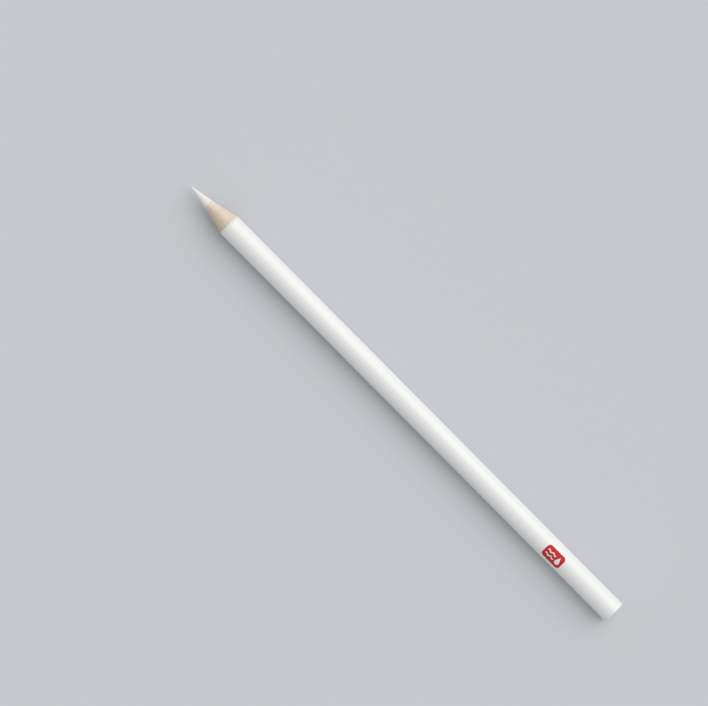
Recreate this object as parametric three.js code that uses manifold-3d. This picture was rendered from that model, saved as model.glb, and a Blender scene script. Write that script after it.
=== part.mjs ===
// A white wooden pencil for marking fabric, whose lines wash out with water. It has no moving pieces.
// The pencil lies on its side. +X runs from the point to the cut end, +Z is up, and the origin is on
// the surface under the middle of the barrel. Lengths are in millimetres.

import * as THREE from 'three';
import { mergeVertices } from 'three/addons/utils/BufferGeometryUtils.js';
import Module from 'manifold-3d';

const wasm = await Module();
wasm.setup();

// Barrel and what it is made of, from the outside in
const PENCIL_LENGTH = 175;
const BARREL_DIAMETER = 7.2;
const LACQUER_THICKNESS = 0.12;
const UNDERCOAT_THICKNESS = 0.07;
const LEAD_DIAMETER = 3.1;
// Glue between the lead and the grooves, and between the two slats
const GROOVE_CLEARANCE = 0.06;
const BOND_THICKNESS = 0.12;
const END_EDGE_BREAK = 0.15;

// Sharpened end, whose sides are ground slightly hollow
const SHARPENED_LENGTH = 16.2;
const POINT_RADIUS = 0.28;
const HOLLOW_GRIND = 0.14;

// Printed mark, placed by its centre. Its width is measured round the barrel, and its turn is from
// straight up towards -Y.
const MARK_LENGTH = 6.8;
const MARK_WIDTH = 4.4;
const MARK_CORNER_RADIUS = 1;
const MARK_THICKNESS = 0.05;
const MARK_FROM_CUT_END = 24.2;
const MARK_TURN = THREE.MathUtils.degToRad(18);

// Water motif left bare inside the mark's border: waves and, on the side of the cut end, a drop as tall
// as the border allows, with its tip towards +Y
const MARK_BORDER = 0.75;
const DROP_RADIUS = 0.8;
const DROP_TO_WAVES = 0.45;
const WAVE_COUNT = 2;
const WAVE_PERIODS = 2;
const WAVE_SPACING = 1.3;
const WAVE_THICKNESS = 0.45;
const WAVE_SWING = 0.2;

// Facets of the round pieces and of the curves
const BARREL_SIDES = 36;
const TAPER_STEPS = 12;
const POINT_STEPS = 3;
const ARC_STEPS = 5;
const STEPS_PER_WAVE = 8;

const BARREL_RADIUS = BARREL_DIAMETER / 2;
const WOOD_RADIUS = BARREL_RADIUS - LACQUER_THICKNESS - UNDERCOAT_THICKNESS;
const UNDERCOAT_RADIUS = WOOD_RADIUS + UNDERCOAT_THICKNESS;
const LEAD_RADIUS = LEAD_DIAMETER / 2;
const GROOVE_RADIUS = LEAD_RADIUS + GROOVE_CLEARANCE;

// A bar or a block that is cut to size starts this much larger.
const CUT_MARGIN = BARREL_DIAMETER / 4;

// Round pieces have flat sides that touch their stated radius. One flat side faces straight down.
const HALF_SIDE_ANGLE = Math.PI / BARREL_SIDES;
const CORNERS_PER_RADIUS = 1 / Math.cos(HALF_SIDE_ANGLE);

// Turns what was made about the Y axis so that it lies along X.
const Y_ALONG_X = new THREE.Matrix4().makeBasis(
  new THREE.Vector3(0, -1, 0),
  new THREE.Vector3(1, 0, 0),
  new THREE.Vector3(0, 0, 1),
);

const MATERIALS = {
  lacquer: new THREE.MeshStandardMaterial({ color: 0xf3f3f1, roughness: 0.22, metalness: 0 }),
  undercoat: new THREE.MeshStandardMaterial({ color: 0xe6e2da, roughness: 0.7, metalness: 0 }),
  wood: new THREE.MeshStandardMaterial({ color: 0xdcc9ad, roughness: 0.7, metalness: 0 }),
  glue: new THREE.MeshStandardMaterial({ color: 0xc9ae7e, roughness: 0.5, metalness: 0 }),
  lead: new THREE.MeshStandardMaterial({ color: 0xeee8e1, roughness: 0.8, metalness: 0 }),
  print: new THREE.MeshStandardMaterial({ color: 0xc22a27, roughness: 0.4, metalness: 0 }),
};

// The solid that a closed geometry bounds, ready to cut and join.
function solidOf(geometry) {
  geometry.deleteAttribute('normal');
  geometry.deleteAttribute('uv');
  const merged = mergeVertices(geometry);
  const corners = Array.from(merged.index.array);
  const triangles = [];
  for (let start = 0; start < corners.length; start += 3) {
    const [a, b, c] = corners.slice(start, start + 3);
    const hasArea = a !== b && b !== c && c !== a;
    if (hasArea) triangles.push(a, b, c);
  }
  const mesh = new wasm.Mesh({
    numProp: 3,
    vertProperties: merged.attributes.position.array,
    triVerts: Uint32Array.from(triangles),
  });
  return new wasm.Manifold(mesh);
}

// A named mesh of a finished solid.
function meshOf(name, solid, material) {
  const { vertProperties, triVerts } = solid.getMesh();
  const geometry = new THREE.BufferGeometry();
  geometry.setAttribute('position', new THREE.BufferAttribute(vertProperties, 3));
  geometry.setIndex(new THREE.BufferAttribute(triVerts, 1));
  geometry.computeVertexNormals();
  const mesh = new THREE.Mesh(geometry, material);
  mesh.name = name;
  return mesh;
}

// A round bar on the pencil's axis, a little longer than the pencil at both ends.
function roundBar(radius) {
  const cornerRadius = radius * CORNERS_PER_RADIUS;
  const length = PENCIL_LENGTH + 2 * CUT_MARGIN;
  const bar = new THREE.CylinderGeometry(
    cornerRadius, cornerRadius, length, BARREL_SIDES, 1, false, HALF_SIDE_ANGLE,
  );
  bar.applyMatrix4(Y_ALONG_X);
  bar.translate(PENCIL_LENGTH / 2, 0, 0);
  return solidOf(bar);
}

// A round tube on the pencil's axis.
function roundTube(innerRadius, outerRadius) {
  return roundBar(outerRadius).subtract(roundBar(innerRadius));
}

// A block as long and as wide as the bars, between two heights above the axis.
function levelBlock(bottom, top) {
  const length = PENCIL_LENGTH + 2 * CUT_MARGIN;
  const width = BARREL_DIAMETER + 2 * CUT_MARGIN;
  const block = new THREE.BoxGeometry(length, width, top - bottom);
  block.translate(PENCIL_LENGTH / 2, 0, (bottom + top) / 2);
  return solidOf(block);
}

// How far the sharpened side stands from the axis, at a share of the way from the point to the lacquer.
function taperRadius(share) {
  const straightSide = THREE.MathUtils.lerp(POINT_RADIUS, BARREL_RADIUS, share);
  const hollow = 4 * HOLLOW_GRIND * share * (1 - share);
  return straightSide - hollow;
}

// One place on the outline of the pencil's side view: its distance from the point, then from the axis.
function outlinePoint(fromPoint, radius) {
  return new THREE.Vector2(radius * CORNERS_PER_RADIUS, fromPoint);
}

// The rounded tip and the sharpened sides, up to where they reach the lacquer's surface.
function sharpenedOutline() {
  const outline = [];
  for (let step = 0; step < POINT_STEPS; step += 1) {
    const turn = (Math.PI / 2) * (step / POINT_STEPS);
    const fromPoint = POINT_RADIUS * (1 - Math.cos(turn));
    outline.push(outlinePoint(fromPoint, POINT_RADIUS * Math.sin(turn)));
  }
  for (let step = 0; step <= TAPER_STEPS; step += 1) {
    const share = step / TAPER_STEPS;
    const fromPoint = THREE.MathUtils.lerp(POINT_RADIUS, SHARPENED_LENGTH, share);
    outline.push(outlinePoint(fromPoint, taperRadius(share)));
  }
  return outline;
}

// What sharpening and cutting to length leave of any bar: a point at X = 0, a square cut end with its
// edge broken, and room for the full barrel between them.
function cutToShape() {
  const endSlope = (BARREL_RADIUS - POINT_RADIUS + 4 * HOLLOW_GRIND) / (SHARPENED_LENGTH - POINT_RADIUS);
  const clearRadius = BARREL_RADIUS + CUT_MARGIN;
  const clearFrom = SHARPENED_LENGTH + CUT_MARGIN / endSlope;
  const clearTo = PENCIL_LENGTH - END_EDGE_BREAK - CUT_MARGIN;
  const outline = [
    ...sharpenedOutline(),
    outlinePoint(clearFrom, clearRadius),
    outlinePoint(clearTo, clearRadius),
    outlinePoint(PENCIL_LENGTH, BARREL_RADIUS - END_EDGE_BREAK),
    outlinePoint(PENCIL_LENGTH, 0),
  ];
  const turned = new THREE.LatheGeometry(outline, BARREL_SIDES, HALF_SIDE_ANGLE);
  turned.applyMatrix4(Y_ALONG_X);
  return solidOf(turned);
}

const PENCIL_SHAPE = cutToShape();

// The space between the slats, which the lead and its glue fill.
function slatGap() {
  const bond = levelBlock(-BOND_THICKNESS / 2, BOND_THICKNESS / 2);
  return bond.add(roundBar(GROOVE_RADIUS));
}

function makeLead() {
  const lead = roundBar(LEAD_RADIUS).intersect(PENCIL_SHAPE);
  return meshOf('lead', lead, MATERIALS.lead);
}

// Half of the wooden barrel with half of the lead's groove in its flat side.
function makeSlat(name, bottom, top) {
  const half = roundBar(WOOD_RADIUS).intersect(levelBlock(bottom, top));
  const slat = half.subtract(slatGap()).intersect(PENCIL_SHAPE);
  return meshOf(name, slat, MATERIALS.wood);
}

// Glue round the lead and in the seam between the slats.
function makeGlueFilm() {
  const filled = slatGap().intersect(roundBar(WOOD_RADIUS)).subtract(roundBar(LEAD_RADIUS));
  return meshOf('glue_film', filled.intersect(PENCIL_SHAPE), MATERIALS.glue);
}

function makeUndercoat() {
  const coat = roundTube(WOOD_RADIUS, UNDERCOAT_RADIUS).intersect(PENCIL_SHAPE);
  return meshOf('undercoat', coat, MATERIALS.undercoat);
}

function makeLacquerCoat() {
  const coat = roundTube(UNDERCOAT_RADIUS, BARREL_RADIUS).intersect(PENCIL_SHAPE);
  return meshOf('lacquer_coat', coat, MATERIALS.lacquer);
}

// A rectangle with round corners about the middle of the mark.
function roundedRectangle(length, width, radius) {
  const x = length / 2 - radius;
  const y = width / 2 - radius;
  const quarter = Math.PI / 2;
  const outline = new THREE.Shape();
  outline.absarc(x, y, radius, 0, quarter);
  outline.absarc(-x, y, radius, quarter, 2 * quarter);
  outline.absarc(-x, -y, radius, 2 * quarter, 3 * quarter);
  outline.absarc(x, -y, radius, 3 * quarter, 4 * quarter);
  outline.closePath();
  return outline;
}

// A water drop with its tip towards +Y, centred on its height.
function dropOutline(x, height) {
  const roundCentre = DROP_RADIUS - height / 2;
  const toTip = height - DROP_RADIUS;
  const sideTurn = Math.asin(DROP_RADIUS / toTip);
  const drop = new THREE.Path();
  drop.absarc(x, roundCentre, DROP_RADIUS, Math.PI - sideTurn, 2 * Math.PI + sideTurn);
  drop.lineTo(x, height / 2);
  drop.closePath();
  return drop;
}

// A band that waves a whole number of times between two places along the mark.
function waveOutline(startX, endX, middleY) {
  const upperSide = [];
  const lowerSide = [];
  const steps = WAVE_PERIODS * STEPS_PER_WAVE;
  for (let step = 0; step <= steps; step += 1) {
    const x = THREE.MathUtils.lerp(startX, endX, step / steps);
    const y = middleY + WAVE_SWING * Math.sin(2 * Math.PI * (step / STEPS_PER_WAVE));
    upperSide.push(new THREE.Vector2(x, y + WAVE_THICKNESS / 2));
    lowerSide.unshift(new THREE.Vector2(x, y - WAVE_THICKNESS / 2));
  }
  const wave = new THREE.Path([...upperSide, ...lowerSide]);
  wave.closePath();
  return wave;
}

// The waves and the drop, side by side about the middle of the mark.
function motifOutlines(height) {
  const motifEnd = MARK_LENGTH / 2 - MARK_BORDER;
  const dropX = motifEnd - DROP_RADIUS;
  const waveEnd = dropX - DROP_RADIUS - DROP_TO_WAVES;
  const outlines = [dropOutline(dropX, height)];
  for (let wave = 0; wave < WAVE_COUNT; wave += 1) {
    const middleY = (wave - (WAVE_COUNT - 1) / 2) * WAVE_SPACING;
    outlines.push(waveOutline(-motifEnd, waveEnd, middleY));
  }
  return outlines;
}

// The ink lies on the lacquer. Its outline is pushed straight in through the coat at the mark's turn.
function makePrintedMark() {
  const straightWidth = BARREL_DIAMETER * Math.sin(MARK_WIDTH / BARREL_DIAMETER);
  const outline = roundedRectangle(MARK_LENGTH, straightWidth, MARK_CORNER_RADIUS);
  outline.holes.push(...motifOutlines(straightWidth - 2 * MARK_BORDER));
  const stamp = new THREE.ExtrudeGeometry(outline, {
    depth: BARREL_RADIUS + CUT_MARGIN,
    bevelEnabled: false,
    curveSegments: ARC_STEPS,
  });
  stamp.rotateX(MARK_TURN);
  stamp.translate(PENCIL_LENGTH - MARK_FROM_CUT_END, 0, 0);
  const ink = roundTube(BARREL_RADIUS, BARREL_RADIUS + MARK_THICKNESS).intersect(solidOf(stamp));
  return meshOf('printed_mark', ink, MATERIALS.print);
}

const pencil = new THREE.Group();
pencil.add(
  makeLead(),
  makeSlat('upper_slat', 0, BARREL_RADIUS + CUT_MARGIN),
  makeSlat('lower_slat', -BARREL_RADIUS - CUT_MARGIN, 0),
  makeGlueFilm(),
  makeUndercoat(),
  makeLacquerCoat(),
  makePrintedMark(),
);
pencil.position.set(-PENCIL_LENGTH / 2, 0, BARREL_RADIUS);

export default pencil;
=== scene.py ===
import math

import bmesh
import bpy
from bpy.props import FloatProperty, FloatVectorProperty, IntProperty, PointerProperty
from mathutils import Matrix, Vector, noise


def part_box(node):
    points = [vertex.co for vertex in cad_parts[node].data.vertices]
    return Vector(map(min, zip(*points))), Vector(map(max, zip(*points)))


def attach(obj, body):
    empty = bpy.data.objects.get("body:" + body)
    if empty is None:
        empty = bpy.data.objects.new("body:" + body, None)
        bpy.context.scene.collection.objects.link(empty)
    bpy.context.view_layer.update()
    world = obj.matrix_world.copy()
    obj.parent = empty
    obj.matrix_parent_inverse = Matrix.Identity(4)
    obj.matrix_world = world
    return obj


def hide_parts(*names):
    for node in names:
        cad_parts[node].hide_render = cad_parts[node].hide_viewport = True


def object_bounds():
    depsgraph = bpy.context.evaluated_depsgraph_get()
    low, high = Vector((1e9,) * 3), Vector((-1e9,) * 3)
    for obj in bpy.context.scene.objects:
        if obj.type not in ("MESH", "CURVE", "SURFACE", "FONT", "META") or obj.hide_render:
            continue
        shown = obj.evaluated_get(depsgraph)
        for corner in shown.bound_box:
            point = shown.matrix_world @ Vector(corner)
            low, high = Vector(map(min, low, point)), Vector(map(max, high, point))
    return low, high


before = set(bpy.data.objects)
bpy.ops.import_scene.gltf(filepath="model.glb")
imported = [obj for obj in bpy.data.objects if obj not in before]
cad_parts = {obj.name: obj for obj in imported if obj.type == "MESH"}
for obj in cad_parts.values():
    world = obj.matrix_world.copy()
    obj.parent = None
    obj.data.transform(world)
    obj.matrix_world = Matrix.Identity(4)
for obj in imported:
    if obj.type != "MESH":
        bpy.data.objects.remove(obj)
CAD_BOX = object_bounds()

bl_info = {
    "name": "Fabric marking pencil",
    "version": (1, 0, 0),
    "blender": (4, 5, 0),
    "location": "3D View > Sidebar > Pencil",
    "description": "Builds a white wooden pencil for marking fabric, and a plain stage to show it on",
    "category": "Add Mesh",
}

# Lengths are in metres, and MM is one millimetre of them.
MM = 0.001
PER_MM = 1 / MM


def width_of(node):
    """How wide a node is across the barrel."""
    low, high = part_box(node)
    return high.y - low.y


# The pencil lies along X. A place on it is given by its distance along from the point, and by its
# distance from the axis.
POINT_X = CAD_BOX[0].x
PENCIL_LENGTH = CAD_BOX[1].x - CAD_BOX[0].x
AXIS_HEIGHT = width_of("lacquer_coat") / 2
MARK_LOW, MARK_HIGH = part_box("printed_mark")
MARK_MIDDLE = (MARK_LOW.x + MARK_HIGH.x) / 2 - POINT_X

# Corners closer than this are one corner.
WELD = 0.0004 * MM


def length_size(name, description, default):
    """A size of the pencil, shown in the sidebar in the scene's units."""
    return FloatProperty(name=name, description=description, default=default, unit="LENGTH", precision=5)


def surface_colour(name, description, default):
    """A linear colour, shown in the sidebar as a swatch."""
    return FloatVectorProperty(
        name=name, description=description, default=default, subtype="COLOR", min=0.0, max=1.0
    )


def stage_angle(name, description, degrees):
    """An angle of the lights, shown in the sidebar in degrees."""
    return FloatProperty(
        name=name, description=description, default=math.radians(degrees), subtype="ANGLE"
    )


class PencilSizes(bpy.types.PropertyGroup):
    """Sizes of the barrel, the lead and the sharpened end"""

    barrel_radius: length_size("Barrel radius", "Over the lacquer", width_of("lacquer_coat") / 2)
    undercoat_radius: length_size("Undercoat radius", "Over the undercoat", width_of("undercoat") / 2)
    wood_radius: length_size("Wood radius", "Over the glued slats", width_of("upper_slat") / 2)
    groove_radius: length_size("Groove radius", "Of the groove round the lead", 1.61 * MM)
    lead_radius: length_size("Lead radius", "Of the white lead", width_of("lead") / 2)
    bond_thickness: length_size("Glue seam", "Thickness of the glue between the slats", 0.12 * MM)
    sharpened_length: length_size("Sharpened length", "From the point to the lacquer", 16.2 * MM)
    point_radius: length_size("Point radius", "Of the blunted point", 0.28 * MM)
    hollow_grind: length_size("Hollow grind", "How far the sharpened side dips", 0.14 * MM)
    edge_break: length_size("Edge break", "Round on the lacquer at the cut end", 0.14 * MM)


class PrintSizes(bpy.types.PropertyGroup):
    """Sizes of the printed mark and of the waves and the drop left bare in it"""

    length: length_size("Length", "Along the barrel", MARK_HIGH.x - MARK_LOW.x)
    width: length_size("Width", "Round the barrel", 4.4 * MM)
    corner_radius: length_size("Corner radius", "Of the mark's four corners", 1.0 * MM)
    thickness: length_size("Thickness", "Of the ink", 0.03 * MM)
    border: length_size("Border", "Ink all round the waves and the drop", 0.75 * MM)
    drop_radius: length_size("Drop radius", "Of the drop's round end", 0.8 * MM)
    drop_to_waves: length_size("Drop to waves", "Ink between the drop and the waves", 0.45 * MM)
    wave_spacing: length_size("Wave spacing", "Between the waves' middles", 1.3 * MM)
    wave_thickness: length_size("Wave thickness", "Of each wave", 0.45 * MM)
    wave_swing: length_size("Wave swing", "Of each wave from its middle", 0.2 * MM)
    wave_count: IntProperty(name="Waves", description="One above the other", default=2)
    wave_periods: IntProperty(name="Periods", description="Swings up and down of each wave", default=2)
    turn: FloatProperty(
        name="Turn",
        description="From straight up towards -Y",
        default=math.radians(18),
        subtype="ANGLE",
    )


class PencilColours(bpy.types.PropertyGroup):
    """Colours of the pencil's materials"""

    lacquer: surface_colour("Lacquer", "Glossy white coat", (0.83, 0.83, 0.82))
    undercoat: surface_colour("Undercoat", "Primer under the lacquer", (0.82, 0.795, 0.735))
    pale_wood: surface_colour("Pale wood", "Between the fibres", (0.80, 0.688, 0.56))
    dark_wood: surface_colour("Dark wood", "In the fibres and pores", (0.52, 0.405, 0.285))
    glue: surface_colour("Glue", "Dried glue in the seam", (0.73, 0.63, 0.49))
    lead: surface_colour("Lead", "Pressed white pigment", (0.86, 0.84, 0.81))
    ink: surface_colour("Ink", "Printed mark", (0.52, 0.014, 0.011))


class StageSettings(bpy.types.PropertyGroup):
    """Floor, light and camera"""

    floor: surface_colour("Floor", "Plain floor", (0.585, 0.61, 0.635))
    fill: FloatProperty(name="Fill", description="Brightness of the light from all round", default=0.55)
    key: FloatProperty(name="Key", description="Strength of the main light", default=1.8)
    key_spread: stage_angle("Key spread", "Width of the main light, which softens its shadows", 70)
    key_height: stage_angle("Key height", "Of the main light above the floor, seen from the pencil", 46)
    key_turn: stage_angle("Key turn", "Of the main light from +Y towards the cut end", 20)
    lens: FloatProperty(name="Lens", description="Focal length in millimetres", default=250.0)


# Outlines, as lists of (along, radius) pairs


def taper_radius(sizes, along):
    """How far the sharpened side stands from the axis at a distance from the point."""
    share = (along - sizes.point_radius) / (sizes.sharpened_length - sizes.point_radius)
    straight = sizes.point_radius + (sizes.barrel_radius - sizes.point_radius) * share
    return straight - 4 * sizes.hollow_grind * share * (1 - share)


def taper_reaches(sizes, radius):
    """The distance from the point at which the sharpened side reaches a radius."""
    rise = radius - sizes.point_radius
    start = sizes.barrel_radius - sizes.point_radius - 4 * sizes.hollow_grind
    share = 2 * rise / (start + math.sqrt(start**2 + 16 * sizes.hollow_grind * rise))
    return sizes.point_radius + share * (sizes.sharpened_length - sizes.point_radius)


def evenly(start, stop, step):
    """Numbers from start to stop, both included, about a step apart."""
    count = max(1, round(abs(stop - start) / step))
    return [start + (stop - start) * n / count for n in range(count + 1)]


def ground_side(sizes, inner, outer, step):
    """The part of the sharpened side between two radii."""
    start, stop = taper_reaches(sizes, inner), taper_reaches(sizes, outer)
    return [(along, taper_radius(sizes, along)) for along in evenly(start, stop, step)]


def blunt_point(sizes, steps):
    """The rounded tip, from the axis to just before the sharpened side."""
    turns = [math.pi / 2 * n / steps for n in range(steps)]
    return [
        (sizes.point_radius * (1 - math.cos(turn)), sizes.point_radius * math.sin(turn)) for turn in turns
    ]


def rounded_corner(along, radius, size, steps):
    """A quarter round at the cut end's outer edge, from the side to the end face."""
    turns = [math.pi / 2 * n / steps for n in range(steps + 1)]
    return [
        (along - size * (1 - math.sin(turn)), radius - size * (1 - math.cos(turn))) for turn in turns
    ]


# Building and finishing of meshes


def on_pencil(along, radius):
    """A point above the axis."""
    return Vector((POINT_X + along, 0, AXIS_HEIGHT + radius))


def polar(point):
    """A point's distance from the pencil's point, its distance from the axis and its angle round it."""
    across, up = point.y, point.z - AXIS_HEIGHT
    return point.x - POINT_X, math.hypot(across, up), math.atan2(across, up)


def push_out(vert, distance):
    """Moves a corner straight away from the axis."""
    away = Vector((0, vert.co.y, vert.co.z - AXIS_HEIGHT))
    if away.length > WELD:
        vert.co += away.normalized() * distance


def face_outwards(bm):
    """Turns every face of a closed mesh to point out of it."""
    bmesh.ops.recalc_face_normals(bm, faces=bm.faces)
    # A thin tube with a sharp edge can come out of that with all its faces pointing in.
    if bm.calc_volume(signed=True) < 0:
        bmesh.ops.reverse_faces(bm, faces=bm.faces)


def spin_outline(outline, steps, closed):
    """Spins an outline once round the pencil's axis."""
    bm = bmesh.new()
    corners = [bm.verts.new(on_pencil(along, radius)) for along, radius in outline]
    following = corners[1:] + corners[:1] if closed else corners[1:]
    edges = [bm.edges.new(pair) for pair in zip(corners, following)]
    bmesh.ops.spin(
        bm,
        geom=corners + edges,
        cent=(0, 0, AXIS_HEIGHT),
        axis=(1, 0, 0),
        dvec=(0, 0, 0),
        angle=math.tau,
        steps=steps,
        use_merge=True,
        use_duplicate=False,
    )
    bmesh.ops.remove_doubles(bm, verts=bm.verts, dist=WELD)
    face_outwards(bm)
    return bm


def keep_side(bm, height, above):
    """Cuts a closed mesh level at a height, keeps what is above or below, and closes the cut."""
    cut = bmesh.ops.bisect_plane(
        bm,
        geom=bm.verts[:] + bm.edges[:] + bm.faces[:],
        dist=WELD / 10,
        plane_co=(0, 0, height),
        plane_no=(0, 0, 1),
        clear_inner=above,
        clear_outer=not above,
    )
    rim = [item for item in cut["geom_cut"] if isinstance(item, bmesh.types.BMEdge)]
    bmesh.ops.holes_fill(bm, edges=rim, sides=0)


def take_in(bm, other):
    """Adds all of another mesh to a mesh, and frees the other."""
    scratch = bpy.data.meshes.new("scratch")
    other.to_mesh(scratch)
    other.free()
    bm.from_mesh(scratch)
    bpy.data.meshes.remove(scratch)


def add_piece(bm, name, finish, node, crease=math.radians(32)):
    """Makes a named piece of a finished mesh, which rides on the body and stands for a CAD node.

    Edges that turn by more than the crease are shaded sharp.
    """
    mesh = bpy.data.meshes.new(name)
    bm.to_mesh(mesh)
    bm.free()
    mesh.shade_smooth()
    mesh.set_sharp_from_angle(angle=crease)
    mesh.materials.append(finish)
    piece = bpy.data.objects.new(name, mesh)
    bpy.context.collection.objects.link(piece)
    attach(piece, "root")
    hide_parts(node)
    return piece


# Surface relief that is large enough to model

# How deep each kind of mark is at most, and how long it is or how far from the next
FINE_RING_DEPTH, FINE_RING_SPACING = 0.006 * MM, 0.16 * MM
BROAD_RING_DEPTH, BROAD_RING_SPACING = 0.014 * MM, 1.3 * MM
FIBRE_DEPTH, FIBRE_LENGTH, FIBRE_SPACING = 0.009 * MM, 1.6 * MM, 0.17 * MM
SAW_MARK_DEPTH, SAW_MARK_LENGTH, SAW_MARK_SPACING = 0.012 * MM, 0.9 * MM, 0.13 * MM
RIPPLE_DEPTH, RIPPLE_LENGTH = 0.008 * MM, 14 * MM


def outward(angle):
    """The direction straight away from the axis, at an angle round it."""
    return Vector((0, math.sin(angle), math.cos(angle)))


def grinding_marks(along, angle):
    """How far the sharpening wheel left the surface above its true cone, in rings round the pencil."""
    away = outward(angle)
    fine = noise.noise(Vector((along / FINE_RING_SPACING, 0, 0)) + away * 0.7)
    broad = noise.noise(Vector((along / BROAD_RING_SPACING, 7, 3)) + away * 1.4)
    return FINE_RING_DEPTH * fine + BROAD_RING_DEPTH * broad


def wood_fibres(point):
    """How far the fibres stand out of cut wood. They run along the pencil."""
    cell = Vector((point.x / FIBRE_LENGTH, point.y / FIBRE_SPACING, point.z / FIBRE_SPACING))
    return FIBRE_DEPTH * noise.noise(cell)


def saw_marks(point):
    """How far the cut end dips below a true flat."""
    cell = Vector((0, point.y / SAW_MARK_LENGTH, point.z / SAW_MARK_SPACING))
    return SAW_MARK_DEPTH * (0.5 + 0.5 * noise.noise(cell))


def grind(bm, sizes, fibrous):
    """Puts the sharpening marks, and on wood the fibres, on the sharpened side."""
    for vert in bm.verts:
        along, radius, angle = polar(vert.co)
        in_reach = sizes.point_radius < along <= sizes.sharpened_length + WELD
        if in_reach and abs(radius - taper_radius(sizes, along)) < WELD:
            fibres = wood_fibres(vert.co) if fibrous else 0
            push_out(vert, grinding_marks(along, angle) + fibres)


def saw_off(bm, depth):
    """Lets the cut end down by a depth and roughens it."""
    end = POINT_X + PENCIL_LENGTH
    for vert in bm.verts:
        if end - vert.co.x < WELD:
            vert.co.x -= depth + saw_marks(vert.co)


# Texture maps

# Patterns are baked through a map of this name where a piece has one. The lead and the slats are long
# and mostly hidden, so theirs gives half of the picture to the sharpened side and a quarter to the
# cut end. The last quarter has a strip for each hidden side. A field is its left, bottom, width and
# height, and a gap is left inside its borders.
BAKE_MAP = "OFBake"
MAP_GAP = 0.008
SHARPENED_FIELD = (0.0, 0.0, 0.5, 1.0)
CUT_END_FIELD = (0.5, 0.5, 0.5, 0.5)
INSIDE_FIELD, OUTSIDE_FIELD, PLUS_Y_SEAM_FIELD, MINUS_Y_SEAM_FIELD = (
    (0.5, strip * 0.5 / 4, 0.5, 0.5 / 4) for strip in range(4)
)


def turned_from(start, angle):
    """How far an angle is turned from another, by up to half a turn either way."""
    return (angle - start + math.pi) % math.tau - math.pi


def map_field(sizes, face, inner, outer):
    """The field of the map that takes a face of a piece between two radii."""
    centre = face.calc_center_bounds()
    along, radius, _ = polar(centre)
    seam_height = sizes.bond_thickness / 2 + WELD
    if along > PENCIL_LENGTH - sizes.edge_break:
        return CUT_END_FIELD
    if along < sizes.sharpened_length:
        return SHARPENED_FIELD
    if all(abs(vert.co.z - AXIS_HEIGHT) < seam_height for vert in face.verts):
        return PLUS_Y_SEAM_FIELD if centre.y > 0 else MINUS_Y_SEAM_FIELD
    return OUTSIDE_FIELD if radius > (inner + outer) / 2 else INSIDE_FIELD


def lay_out_map(bm, sizes, inner, outer, middle, span):
    """Lays out the map of a piece between two radii, which reaches half of span either side of middle."""
    layer = bm.loops.layers.uv.new(BAKE_MAP)
    ground_start, ground_end = (taper_reaches(sizes, radius) + radius for radius in (inner, outer))
    for face in bm.faces:
        field = map_field(sizes, face, inner, outer)
        centre_angle = polar(face.calc_center_bounds())[2]
        for loop in face.loops:
            corner = loop.vert.co
            along, radius, angle = polar(corner)
            turn = turned_from(middle, centre_angle)
            if radius > WELD:
                turn += turned_from(centre_angle, angle)
            u, v = along / PENCIL_LENGTH, 0.5 + turn / span
            if field == CUT_END_FIELD:
                u, v = 0.5 + corner.y / outer / 2, 0.5 + (corner.z - AXIS_HEIGHT) / outer / 2
            elif field == SHARPENED_FIELD:
                u = (along + radius - ground_start) / (ground_end - ground_start)
            elif field in (PLUS_Y_SEAM_FIELD, MINUS_Y_SEAM_FIELD):
                v = (radius - inner) / (outer - inner)
            left, bottom, width, height = field
            loop[layer].uv = (
                left + MAP_GAP + (width - 2 * MAP_GAP) * u,
                bottom + MAP_GAP + (height - 2 * MAP_GAP) * v,
            )


# Finishes


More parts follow.
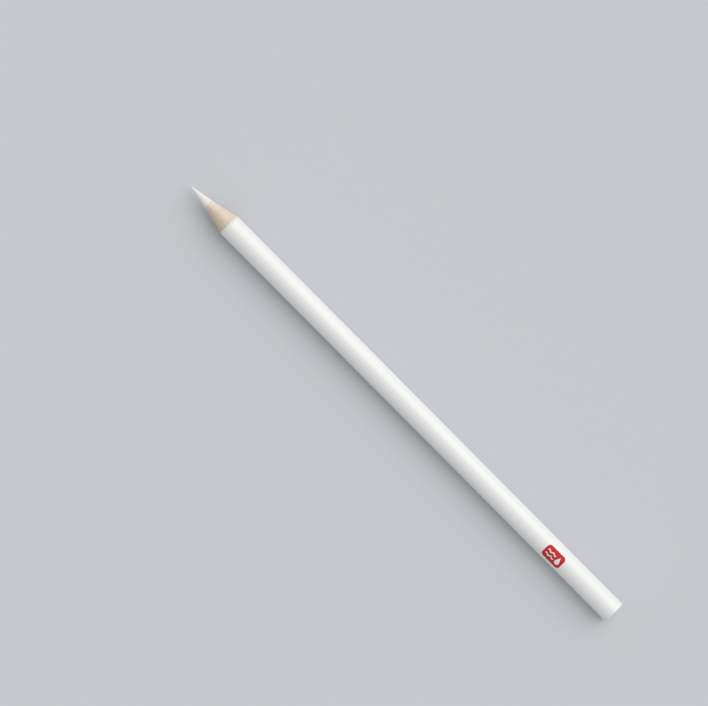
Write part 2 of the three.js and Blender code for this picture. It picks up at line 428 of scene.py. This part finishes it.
class Finish:
    """A material that is being put together: a principled shader and the patterns that feed it."""

    def __init__(self, name, roughness):
        self.material = bpy.data.materials.new(name)
        self.material.use_nodes = True
        self.nodes = self.material.node_tree.nodes
        self.links = self.material.node_tree.links
        self.shader = self.nodes["Principled BSDF"]
        self.shader.inputs["Roughness"].default_value = roughness

    def feed(self, socket, value):
        """Links an output to a socket, or sets the socket to a plain value."""
        if isinstance(value, bpy.types.NodeSocket):
            self.links.new(value, socket)
        else:
            socket.default_value = value

    def add(self, kind, inputs=None, **settings):
        """Adds a node with its settings and inputs."""
        node = self.nodes.new(kind)
        for name, value in settings.items():
            setattr(node, name, value)
        for key, value in (inputs or {}).items():
            self.feed(node.inputs[key], value)
        return node

    def space(self, cells_per_mm, shift=(0, 0, 0), turn=0.0):
        """Object coordinates from the barrel's axis, counted in pattern cells along X, Y and Z."""
        scale = Vector(cells_per_mm) * PER_MM
        centred = self.add(
            "ShaderNodeMapping",
            {
                "Vector": self.add("ShaderNodeTexCoord").outputs["Object"],
                "Location": (0, 0, -AXIS_HEIGHT),
            },
        )
        cells = self.add(
            "ShaderNodeMapping",
            {
                "Vector": centred.outputs["Vector"],
                "Location": shift,
                "Rotation": (turn, 0, 0),
                "Scale": scale,
            },
        )
        return cells.outputs["Vector"]

    def grain(self, cells_per_mm, detail=2.0, shift=(0, 0, 0), distortion=0.0):
        """Smooth random variation about 0.5."""
        texture = self.add(
            "ShaderNodeTexNoise",
            {
                "Vector": self.space(cells_per_mm, shift),
                "Scale": 1.0,
                "Detail": detail,
                "Distortion": distortion,
            },
        )
        return texture.outputs["Fac"]

    def remap(self, value, low, high, to_low=0.0, to_high=1.0):
        """A value between low and high, moved to between two other numbers and held there."""
        spread = self.add(
            "ShaderNodeMapRange",
            {"Value": value, "From Min": low, "From Max": high, "To Min": to_low, "To Max": to_high},
        )
        return spread.outputs["Result"]

    def combine(self, operation, *values):
        """What a mathematical operation makes of some values."""
        return self.add("ShaderNodeMath", dict(enumerate(values)), operation=operation).outputs[0]

    def from_axis(self):
        """Distance from the barrel's axis in millimetres."""
        across = self.space((0, 1, 1))
        return self.add("ShaderNodeVectorMath", {0: across}, operation="LENGTH").outputs["Value"]

    def blend(self, factor, first, second):
        """A colour between two others."""
        mix = self.add("ShaderNodeMix", {0: factor, 6: first, 7: second}, data_type="RGBA")
        return mix.outputs[2]

    def raise_surface(self, height, depth, below=None):
        """Bump of a depth in metres, on top of any bump below it."""
        bump = self.add("ShaderNodeBump", {"Height": height, "Distance": depth})
        if below is not None:
            self.feed(bump.inputs["Normal"], below)
        return bump.outputs["Normal"]

    def finished(self, colour=None, roughness=None, normal=None):
        """Feeds the shader and gives the material."""
        for name, value in (("Base Color", colour), ("Roughness", roughness), ("Normal", normal)):
            if value is not None:
                self.feed(self.shader.inputs[name], value)
        return self.material


def opaque(colour, strength=1.0):
    """A property's colour as four numbers, darkened by a strength."""
    return (*(channel * strength for channel in colour), 1.0)


def lacquer_finish(colours):
    """Glossy white paint, a little uneven from the dipping and from the wood under it."""
    finish = Finish("white_lacquer", 0.2)
    cloud = finish.grain((0.03, 0.2, 0.2), detail=3.0)
    colour = finish.blend(cloud, opaque(colours.lacquer), opaque(colours.lacquer, 0.965))
    roughness = finish.remap(finish.grain((0.1, 0.8, 0.8), detail=3.0), 0.3, 0.7, 0.19, 0.23)
    streaks = finish.raise_surface(finish.grain((0.04, 0.9, 0.9), detail=2.0), 0.011 * MM)
    peel = finish.raise_surface(finish.grain((1.6, 1.6, 1.6), detail=1.0), 0.0012 * MM, streaks)
    return finish.finished(colour, roughness, peel)


def undercoat_finish(colours):
    """Dull, slightly powdery primer."""
    finish = Finish("primer", 0.75)
    powder = finish.grain((9, 9, 9), detail=3.0)
    colour = finish.blend(powder, opaque(colours.undercoat), opaque(colours.undercoat, 0.88))
    return finish.finished(colour, normal=finish.raise_surface(powder, 0.01 * MM))


def chalk_dust(finish, groove_radius):
    """How thickly the lead's dust lies on what was cut: most beside the lead, and in streaks."""
    along_fibres = finish.remap(finish.grain((0.35, 5.0, 5.0), detail=3.0), 0.35, 0.65, 0.1, 0.5)
    round_barrel = finish.remap(finish.grain((2.2, 0.3, 0.3), detail=3.0), 0.35, 0.65, 0.05, 0.45)
    reach = finish.combine("ADD", along_fibres, round_barrel)
    past_lead = finish.combine("SUBTRACT", finish.from_axis(), groove_radius * PER_MM)
    return finish.remap(finish.combine("DIVIDE", past_lead, reach), 0, 1, 0.3, 0)


def wood_finish(colours, name, shift, turn, groove_radius):
    """Pale, fine-grained wood. Each slat is cut from its own plank, so its grain has its own place. A
    broad light and dark tone across it is partly the wood's own tone and partly painted shade.
    """
    finish = Finish(name, 0.72)
    layers = finish.add(
        "ShaderNodeTexWave",
        {
            "Vector": finish.space((0.012, 0.6, 0.6), shift, turn),
            "Scale": 0.55,
            "Distortion": 1.6,
            "Detail": 2.0,
            "Detail Scale": 0.7,
        },
        wave_type="BANDS",
        bands_direction="Z",
        wave_profile="SAW",
    ).outputs["Fac"]
    fibres = finish.grain((0.22, 7.5, 7.5), detail=4.0, shift=shift)
    pores = finish.remap(finish.grain((0.5, 9.0, 9.0), detail=2.0, shift=shift), 0.60, 0.74)
    rings = finish.grain((5.5, 0.05, 0.05), detail=3.0)
    # Broad tone: partly the wood's own, partly painted shade. On the upper slat it lies darker on the
    # side away from the main light and lighter on the lit side.
    board_tone_and_shade = finish.remap(finish.grain((0.05, 0.3, 0.3), detail=1.0, shift=shift), 0.35, 0.65, -0.17, 0.17)

    layered = finish.combine("MULTIPLY_ADD", layers, 0.22, board_tone_and_shade)
    fibred = finish.combine("MULTIPLY_ADD", finish.remap(fibres, 0.3, 0.7), 0.42, layered)
    shaded = finish.combine("MULTIPLY_ADD", pores, 0.3, fibred)
    clean = finish.blend(shaded, opaque(colours.pale_wood), opaque(colours.dark_wood))
    colour = finish.blend(chalk_dust(finish, groove_radius), clean, opaque(colours.lead))

    cut = finish.raise_surface(rings, 0.016 * MM)
    raised = finish.raise_surface(fibres, 0.03 * MM, cut)
    pitted = finish.raise_surface(finish.combine("SUBTRACT", 1.0, pores), 0.012 * MM, raised)
    return finish.finished(colour, finish.remap(fibres, 0.3, 0.7, 0.62, 0.82), pitted)


def glue_finish(colours, groove_radius):
    """A thin line of dried glue, dusty beside the lead."""
    finish = Finish("dried_glue", 0.45)
    beads = finish.grain((4, 8, 8), detail=3.0)
    clean = finish.blend(beads, opaque(colours.glue), opaque(colours.glue, 0.72))
    colour = finish.blend(chalk_dust(finish, groove_radius), clean, opaque(colours.lead))
    return finish.finished(colour, normal=finish.raise_surface(beads, 0.02 * MM))


def lead_finish(colours):
    """Chalky white lead with fine specks, rubbed in rings where it was sharpened."""
    finish = Finish("white_lead", 0.68)
    mottle = finish.grain((1.2, 2.2, 2.2), detail=4.0)
    specks = finish.remap(finish.grain((11, 11, 11), detail=1.0), 0.66, 0.78)
    shade = finish.combine("MULTIPLY_ADD", specks, 0.5, finish.combine("MULTIPLY", mottle, 0.5))
    colour = finish.blend(shade, opaque(colours.lead), opaque(colours.lead, 0.84))
    rings = finish.raise_surface(finish.grain((6.0, 0.05, 0.05), detail=3.0), 0.02 * MM)
    chalk = finish.raise_surface(finish.grain((14, 14, 14), detail=3.0), 0.012 * MM, rings)
    return finish.finished(colour, finish.remap(mottle, 0.35, 0.65, 0.55, 0.8), chalk)


def ink_finish(colours):
    """Red ink, thinner in places, with the odd pinhole."""
    finish = Finish("red_ink", 0.5)
    finish.shader.inputs["Specular IOR Level"].default_value = 0.2
    coverage = finish.remap(finish.grain((1.1, 1.1, 1.1), detail=4.0), 0.35, 0.7)
    pinholes = finish.remap(finish.grain((8, 8, 8), detail=0.0), 0.76, 0.8)
    thin = finish.combine("MULTIPLY", coverage, 0.5)
    worn = finish.combine("MAXIMUM", thin, finish.combine("MULTIPLY", pinholes, 0.6))
    thin_ink = tuple(0.94 * ink + 0.06 * paint for ink, paint in zip(colours.ink, colours.lacquer))
    colour = finish.blend(worn, opaque(colours.ink), opaque(thin_ink))
    normal = finish.raise_surface(finish.grain((5, 5, 5), detail=2.0), 0.003 * MM)
    return finish.finished(colour, finish.remap(coverage, 0, 1, 0.42, 0.6), normal)


# Pieces

# How many flat sides stand for each round
LEAD_SIDES, WOOD_SIDES, COAT_SIDES = 128, 180, 192

# The lead's broken edge at the cut end, and how far the wood and the glue end before the lead does
LEAD_EDGE_BREAK, WOOD_SET_BACK, GLUE_SET_BACK = 0.03 * MM, 0.015 * MM, 0.01 * MM


class PENCIL_OT_add_lead(bpy.types.Operator):
    """Adds the white lead with its rounded point"""

    bl_idname = "pencil.add_lead"
    bl_label = "Add lead"

    def execute(self, context):
        sizes = context.scene.pencil_sizes
        outline = [
            *blunt_point(sizes, steps=7),
            *ground_side(sizes, sizes.point_radius, sizes.lead_radius, step=0.05 * MM),
            *rounded_corner(PENCIL_LENGTH, sizes.lead_radius, LEAD_EDGE_BREAK, steps=2),
            *[(PENCIL_LENGTH, radius) for radius in evenly(sizes.lead_radius, 0, 0.07 * MM)[1:]],
        ]
        bm = spin_outline(outline, LEAD_SIDES, closed=False)
        grind(bm, sizes, fibrous=False)
        saw_off(bm, 0.0)
        lay_out_map(bm, sizes, 0.0, sizes.lead_radius, middle=0.0, span=math.tau)
        add_piece(bm, "white_lead", lead_finish(context.scene.pencil_colours), "lead")
        return {"FINISHED"}


def slatted_tube(sizes):
    """Wood from the groove to the undercoat, all round, before it is parted into slats."""
    end_face = evenly(sizes.wood_radius, sizes.groove_radius, 0.12 * MM)
    outline = [
        *ground_side(sizes, sizes.groove_radius, sizes.wood_radius, step=0.08 * MM),
        *[(PENCIL_LENGTH, radius) for radius in end_face],
    ]
    bm = spin_outline(outline, WOOD_SIDES, closed=True)
    grind(bm, sizes, fibrous=True)
    saw_off(bm, WOOD_SET_BACK)
    return bm


class PENCIL_OT_add_slats(bpy.types.Operator):
    """Adds the two halves of the wooden barrel"""

    bl_idname = "pencil.add_slats"
    bl_label = "Add slats"

    def execute(self, context):
        sizes, colours = context.scene.pencil_sizes, context.scene.pencil_colours
        # The upper slat's shift puts its broad dark tone on the -Y side, which the main light leaves in
        # shade, and its light tone on the lit side: painted shade.
        for above, name, node, shift, turn in (
            (True, "wood_upper", "upper_slat", (9.8, 5.0, 8.2), math.radians(24)),
            (False, "wood_lower", "lower_slat", (2.3, 9.0, 9.4), math.radians(-35)),
        ):
            side = 1 if above else -1
            bm = slatted_tube(sizes)
            keep_side(bm, AXIS_HEIGHT + side * sizes.bond_thickness / 2, above)
            middle = 0.0 if above else math.pi
            lay_out_map(bm, sizes, sizes.groove_radius, sizes.wood_radius, middle, span=math.pi)
            finish = wood_finish(colours, name, shift, turn, sizes.groove_radius)
            add_piece(bm, name, finish, node)
        return {"FINISHED"}


class PENCIL_OT_add_glue(bpy.types.Operator):
    """Adds the glue round the lead and in the seam between the slats"""

    bl_idname = "pencil.add_glue"
    bl_label = "Add glue"

    def execute(self, context):
        sizes = context.scene.pencil_sizes
        seam = slatted_tube(sizes)
        keep_side(seam, AXIS_HEIGHT - sizes.bond_thickness / 2, above=True)
        keep_side(seam, AXIS_HEIGHT + sizes.bond_thickness / 2, above=False)
        outline = [
            *ground_side(sizes, sizes.lead_radius, sizes.groove_radius, step=0.09 * MM),
            (PENCIL_LENGTH, sizes.groove_radius),
            (PENCIL_LENGTH, sizes.lead_radius),
        ]
        sleeve = spin_outline(outline, LEAD_SIDES, closed=True)
        grind(sleeve, sizes, fibrous=False)
        saw_off(sleeve, GLUE_SET_BACK)
        take_in(seam, sleeve)
        finish = glue_finish(context.scene.pencil_colours, sizes.groove_radius)
        add_piece(seam, "glue_seam", finish, "glue_film")
        return {"FINISHED"}


class PENCIL_OT_add_undercoat(bpy.types.Operator):
    """Adds the primer between the wood and the lacquer"""

    bl_idname = "pencil.add_undercoat"
    bl_label = "Add undercoat"

    def execute(self, context):
        sizes = context.scene.pencil_sizes
        outline = [
            *ground_side(sizes, sizes.wood_radius, sizes.undercoat_radius, step=0.07 * MM),
            (PENCIL_LENGTH, sizes.undercoat_radius),
            (PENCIL_LENGTH, sizes.wood_radius),
        ]
        bm = spin_outline(outline, COAT_SIDES, closed=True)
        grind(bm, sizes, fibrous=False)
        saw_off(bm, 0.0)
        finish = undercoat_finish(context.scene.pencil_colours)
        add_piece(bm, "undercoat_sleeve", finish, "undercoat")
        return {"FINISHED"}


# How far the lacquer's front edge wanders, how far its flakes go back, and over what length along the
# barrel both fade out
EDGE_WANDER, FLAKE_DEPTH, FLAKE_FADE = 0.05 * MM, 0.25 * MM, 0.8 * MM

# The barrel's rings of corners are close together up to a distance past the front edge, and then
# further apart.
CLOSE_REACH, CLOSE_STEP, WIDE_STEP = 1.6 * MM, 0.16 * MM, 1.6 * MM

# The lacquer is shaded sharp where the sharpened side meets the barrel, at about 14 degrees, and
# smooth over the round at the cut end, where each step turns by 7.5 degrees.
LACQUER_CREASE = math.radians(9)


def chipped_edge(angle):
    """How far back the lacquer has flaked off where sharpening cut through it."""
    away = outward(angle)
    wander = noise.noise(away * 2.3)
    flakes = max(0.0, noise.noise(away * 11 + Vector((5, 0, 0))) - 0.12)
    return EDGE_WANDER * wander + FLAKE_DEPTH * flakes


def chip_lacquer(bm, sizes):
    """Wears the lacquer's front edge back in small flakes, fading out along the barrel."""
    inner_edge = taper_reaches(sizes, sizes.undercoat_radius)
    for vert in bm.verts:
        along, radius, angle = polar(vert.co)
        if radius - sizes.undercoat_radius < WELD:
            continue
        to_rim = (along - inner_edge) / (sizes.sharpened_length - inner_edge)
        past_rim = 1 - (along - sizes.sharpened_length) / FLAKE_FADE
        vert.co.x += chipped_edge(angle) * max(0.0, min(to_rim, past_rim))


def ripple_lacquer(bm, sizes):
    """Lets the coat's surface down by a few thousandths, in the long ripples that dipping leaves."""
    for vert in bm.verts:
        along, radius, angle = polar(vert.co)
        if radius > sizes.barrel_radius - WELD:
            cell = Vector((along / RIPPLE_LENGTH, 0, 0)) + outward(angle) * 1.6
            push_out(vert, -RIPPLE_DEPTH * (0.5 + 0.5 * noise.noise(cell)))


class PENCIL_OT_add_lacquer(bpy.types.Operator):
    """Adds the glossy white coat"""

    bl_idname = "pencil.add_lacquer"
    bl_label = "Add lacquer"

    def execute(self, context):
        sizes = context.scene.pencil_sizes
        rim = sizes.sharpened_length
        close_end, side_end = rim + CLOSE_REACH, PENCIL_LENGTH - sizes.edge_break
        side = [*evenly(rim, close_end, CLOSE_STEP), *evenly(close_end, side_end, WIDE_STEP)[1:-1]]
        outline = [
            *ground_side(sizes, sizes.undercoat_radius, sizes.barrel_radius, step=0.07 * MM)[:-1],
            *[(along, sizes.barrel_radius) for along in side],
            *rounded_corner(PENCIL_LENGTH, sizes.barrel_radius, sizes.edge_break, steps=12),
            (PENCIL_LENGTH, sizes.undercoat_radius),
        ]
        bm = spin_outline(outline, COAT_SIDES, closed=True)
        grind(bm, sizes, fibrous=False)
        chip_lacquer(bm, sizes)
        ripple_lacquer(bm, sizes)
        finish = lacquer_finish(context.scene.pencil_colours)
        add_piece(bm, "lacquer_skin", finish, "lacquer_coat", LACQUER_CREASE)
        return {"FINISHED"}


# How finely the mark's outlines are drawn, and how far apart the lines are at which it is bent
CORNER_STEPS, DROP_STEPS, CUTS_PER_PERIOD = 10, 28, 16
BEND_SPACING = 0.2 * MM


def rounded_bar(length, width, corner_radius):
    """A flat rectangle with round corners about the origin."""
    bm = bmesh.new()
    bar = bmesh.ops.create_grid(bm, x_segments=1, y_segments=1, size=0.5)
    bmesh.ops.scale(bm, vec=(length, width, 1), verts=bar["verts"])
    bmesh.ops.bevel(
        bm,
        geom=bar["verts"],
        offset=corner_radius,
        affect="VERTICES",
        segments=CORNER_STEPS,
        profile=0.5,
        material=-1,
    )
    return bm


def drop_outline(x, radius, height):
    """A drop's outline, its tip towards +Y."""
    bm = bmesh.new()
    round_centre = Vector((x, radius - height / 2, 0))
    side_turn = math.asin(radius / (height - radius))
    start = round_centre + radius * Vector((-math.cos(side_turn), math.sin(side_turn), 0))
    first = bm.verts.new(start)
    arc = bmesh.ops.spin(
        bm,
        geom=[first],
        cent=round_centre,
        axis=(0, 0, 1),
        dvec=(0, 0, 0),
        angle=math.pi + 2 * side_turn,
        steps=DROP_STEPS,
        use_merge=False,
        use_duplicate=False,
    )
    last = arc["geom_last"][0]
    tip = bm.verts.new((x, height / 2, 0))
    bm.edges.new((last, tip))
    bm.edges.new((tip, first))
    return bm


def round_ended_wave(sizes, start, end, middle_y):
    """A wave between two places along the mark, round at its ends."""
    length = end - start
    # At a full half of the thickness, the two corners of each end would meet in one point.
    bm = rounded_bar(length, sizes.wave_thickness, corner_radius=0.49 * sizes.wave_thickness)
    sides = [edge for edge in bm.edges if edge.calc_length() > length / 2]
    bmesh.ops.bisect_edges(bm, edges=sides, cuts=CUTS_PER_PERIOD * sizes.wave_periods)
    for point in bm.verts:
        share = point.co.x / length + 0.5
        swing = sizes.wave_swing * math.sin(math.tau * sizes.wave_periods * share)
        point.co += Vector(((start + end) / 2, middle_y + swing, 0))
    return bm


def flat_print(sizes, barrel_radius):
    """The mark seen square on, with its waves and its drop left open, as one filled sheet."""
    straight_width = 2 * barrel_radius * math.sin(sizes.width / barrel_radius / 2)
    bm = rounded_bar(sizes.length, straight_width, sizes.corner_radius)
    motif_end = sizes.length / 2 - sizes.border
    drop_x = motif_end - sizes.drop_radius
    take_in(bm, drop_outline(drop_x, sizes.drop_radius, straight_width - 2 * sizes.border))
    wave_end = drop_x - sizes.drop_radius - sizes.drop_to_waves
    for wave in range(sizes.wave_count):
        middle_y = (wave - (sizes.wave_count - 1) / 2) * sizes.wave_spacing
        take_in(bm, round_ended_wave(sizes, -motif_end, wave_end, middle_y))
    bmesh.ops.delete(bm, geom=bm.faces[:], context="FACES_ONLY")
    # Filling welds corners that are within 0.03 units, so it is done in millimetres.
    bmesh.ops.scale(bm, vec=(PER_MM,) * 3, verts=bm.verts)
    bmesh.ops.triangle_fill(bm, edges=bm.edges, use_beauty=True, use_dissolve=False)
    bmesh.ops.scale(bm, vec=(MM,) * 3, verts=bm.verts)
    return bm


def wrap_round_barrel(bm, sizes, turn):
    """Lays a sheet, seen square on in X and Y, on the barrel."""
    for vert in bm.verts:
        angle = math.asin(vert.co.y / sizes.barrel_radius) - turn
        out = sizes.barrel_radius + vert.co.z
        along = MARK_MIDDLE + POINT_X + vert.co.x
        vert.co = (along, out * math.sin(angle), AXIS_HEIGHT + out * math.cos(angle))


class PENCIL_OT_add_mark(bpy.types.Operator):
    """Adds the red printed mark"""

    bl_idname = "pencil.add_mark"
    bl_label = "Add printed mark"

    def execute(self, context):
        sizes, printed = context.scene.pencil_sizes, context.scene.print_sizes
        bm = flat_print(printed, sizes.barrel_radius)
        for across in evenly(-printed.width / 2, printed.width / 2, BEND_SPACING)[1:-1]:
            bmesh.ops.bisect_plane(
                bm,
                geom=bm.verts[:] + bm.edges[:] + bm.faces[:],
                dist=WELD,
                plane_co=(0, across, 0),
                plane_no=(0, 1, 0),
            )
        sheet = bmesh.ops.extrude_face_region(bm, geom=bm.faces[:])
        lifted = [item for item in sheet["geom"] if isinstance(item, bmesh.types.BMVert)]
        bmesh.ops.translate(bm, vec=(0, 0, printed.thickness), verts=lifted)
        face_outwards(bm)
        wrap_round_barrel(bm, sizes, printed.turn)
        add_piece(bm, "red_print", ink_finish(context.scene.pencil_colours), "printed_mark")
        return {"FINISHED"}


# Stage

# The photograph's frame, and where the pencil's ends lie in it, in pixels from its top left corner
FRAME_WIDTH, FRAME_HEIGHT = 708, 706
POINT_AT = Vector((191.5, 187.0))
CUT_END_AT = Vector((613.9, 612.4))

FLOOR_RADIUS = 30.0


def add_floor(settings):
    """A plain floor that reaches past the camera's view."""
    floor = Finish("plain_floor", 1.0)
    floor.shader.inputs["Base Color"].default_value = opaque(settings.floor)
    floor.shader.inputs["Specular IOR Level"].default_value = 0.0
    bm = bmesh.new()
    bmesh.ops.create_circle(bm, cap_ends=True, radius=FLOOR_RADIUS, segments=96)
    mesh = bpy.data.meshes.new("floor")
    bm.to_mesh(mesh)
    bm.free()
    mesh.materials.append(floor.material)
    piece = bpy.data.objects.new("floor", mesh)
    bpy.context.collection.objects.link(piece)


def floor_brightness(settings):
    """How bright the floor's colour looks under both lights."""
    return settings.fill + settings.key * math.sin(settings.key_height) / math.pi


def add_lights(settings):
    """One broad, soft light from the +Y side, and even light from all round."""
    key = bpy.data.lights.new("key", "SUN")
    key.energy = settings.key
    key.angle = settings.key_spread
    lamp = bpy.data.objects.new("key", key)
    lamp.rotation_euler = (settings.key_height - math.pi / 2, 0, -settings.key_turn)
    bpy.context.collection.objects.link(lamp)

    world = bpy.data.worlds.new("studio")
    world.use_nodes = True
    nodes, links = world.node_tree.nodes, world.node_tree.links
    fill = nodes["Background"]
    fill.inputs["Color"].default_value = (1, 1, 1, 1)
    fill.inputs["Strength"].default_value = settings.fill
    backdrop = nodes.new("ShaderNodeBackground")
    backdrop.inputs["Color"].default_value = opaque(settings.floor, floor_brightness(settings))
    seen = nodes.new("ShaderNodeLightPath")
    choose = nodes.new("ShaderNodeMixShader")
    links.new(seen.outputs["Is Camera Ray"], choose.inputs[0])
    links.new(fill.outputs[0], choose.inputs[1])
    links.new(backdrop.outputs[0], choose.inputs[2])
    links.new(choose.outputs[0], nodes["World Output"].inputs["Surface"])
    bpy.context.scene.world = world


def add_camera(settings):
    """Looks straight down, so that the pencil's ends land where the photograph has them."""
    across = CUT_END_AT - POINT_AT
    turn = math.atan2(across.y, across.x)
    metres_per_pixel = PENCIL_LENGTH / across.length
    camera = bpy.data.cameras.new("camera")
    camera.lens = settings.lens
    distance = camera.lens / camera.sensor_width * FRAME_WIDTH * metres_per_pixel

    frame_middle = Vector((FRAME_WIDTH, FRAME_HEIGHT)) / 2
    aim = (frame_middle - (POINT_AT + CUT_END_AT) / 2) * metres_per_pixel
    rotation = Matrix.Rotation(turn, 3, "Z")
    place = rotation @ Vector((aim.x, -aim.y, 0))
    place += Vector((POINT_X + PENCIL_LENGTH / 2, 0, AXIS_HEIGHT + distance))

    eye = bpy.data.objects.new("camera", camera)
    eye.location = place
    eye.rotation_euler = (0, 0, turn)
    bpy.context.collection.objects.link(eye)
    bpy.context.scene.camera = eye


class PENCIL_OT_add_stage(bpy.types.Operator):
    """Adds the floor, the lights and the camera"""

    bl_idname = "pencil.add_stage"
    bl_label = "Add stage"

    def execute(self, context):
        settings = context.scene.stage_settings
        context.scene.view_settings.view_transform = "Standard"
        add_floor(settings)
        add_lights(settings)
        add_camera(settings)
        return {"FINISHED"}


STEPS = (
    PENCIL_OT_add_lead,
    PENCIL_OT_add_slats,
    PENCIL_OT_add_glue,
    PENCIL_OT_add_undercoat,
    PENCIL_OT_add_lacquer,
    PENCIL_OT_add_mark,
    PENCIL_OT_add_stage,
)


class PENCIL_PT_sidebar(bpy.types.Panel):
    """Lists the steps that build the pencil, with its sizes and colours"""

    bl_label = "Fabric marking pencil"
    bl_idname = "PENCIL_PT_sidebar"
    bl_space_type = "VIEW_3D"
    bl_region_type = "UI"
    bl_category = "Pencil"

    def draw(self, context):
        for step in STEPS:
            self.layout.operator(step.bl_idname)
        for title, group in (
            ("Pencil", context.scene.pencil_sizes),
            ("Print", context.scene.print_sizes),
            ("Colours", context.scene.pencil_colours),
            ("Stage", context.scene.stage_settings),
        ):
            box = self.layout.box()
            box.label(text=title)
            for name in group.__annotations__:
                box.prop(group, name)


GROUPS = {
    "pencil_sizes": PencilSizes,
    "print_sizes": PrintSizes,
    "pencil_colours": PencilColours,
    "stage_settings": StageSettings,
}


def register():
    """Registers the property groups, the steps and the panel."""
    for name, group in GROUPS.items():
        bpy.utils.register_class(group)
        setattr(bpy.types.Scene, name, PointerProperty(type=group))
    for operator in STEPS:
        bpy.utils.register_class(operator)
    bpy.utils.register_class(PENCIL_PT_sidebar)


def unregister():
    """Takes everything that register added away again."""
    bpy.utils.unregister_class(PENCIL_PT_sidebar)
    for operator in reversed(STEPS):
        bpy.utils.unregister_class(operator)
    for name, group in reversed(GROUPS.items()):
        delattr(bpy.types.Scene, name)
        bpy.utils.unregister_class(group)


def main():
    register()
    bpy.ops.pencil.add_lead()
    bpy.ops.pencil.add_slats()
    bpy.ops.pencil.add_glue()
    bpy.ops.pencil.add_undercoat()
    bpy.ops.pencil.add_lacquer()
    bpy.ops.pencil.add_mark()
    bpy.ops.pencil.add_stage()


if __name__ == "__main__":
    main()
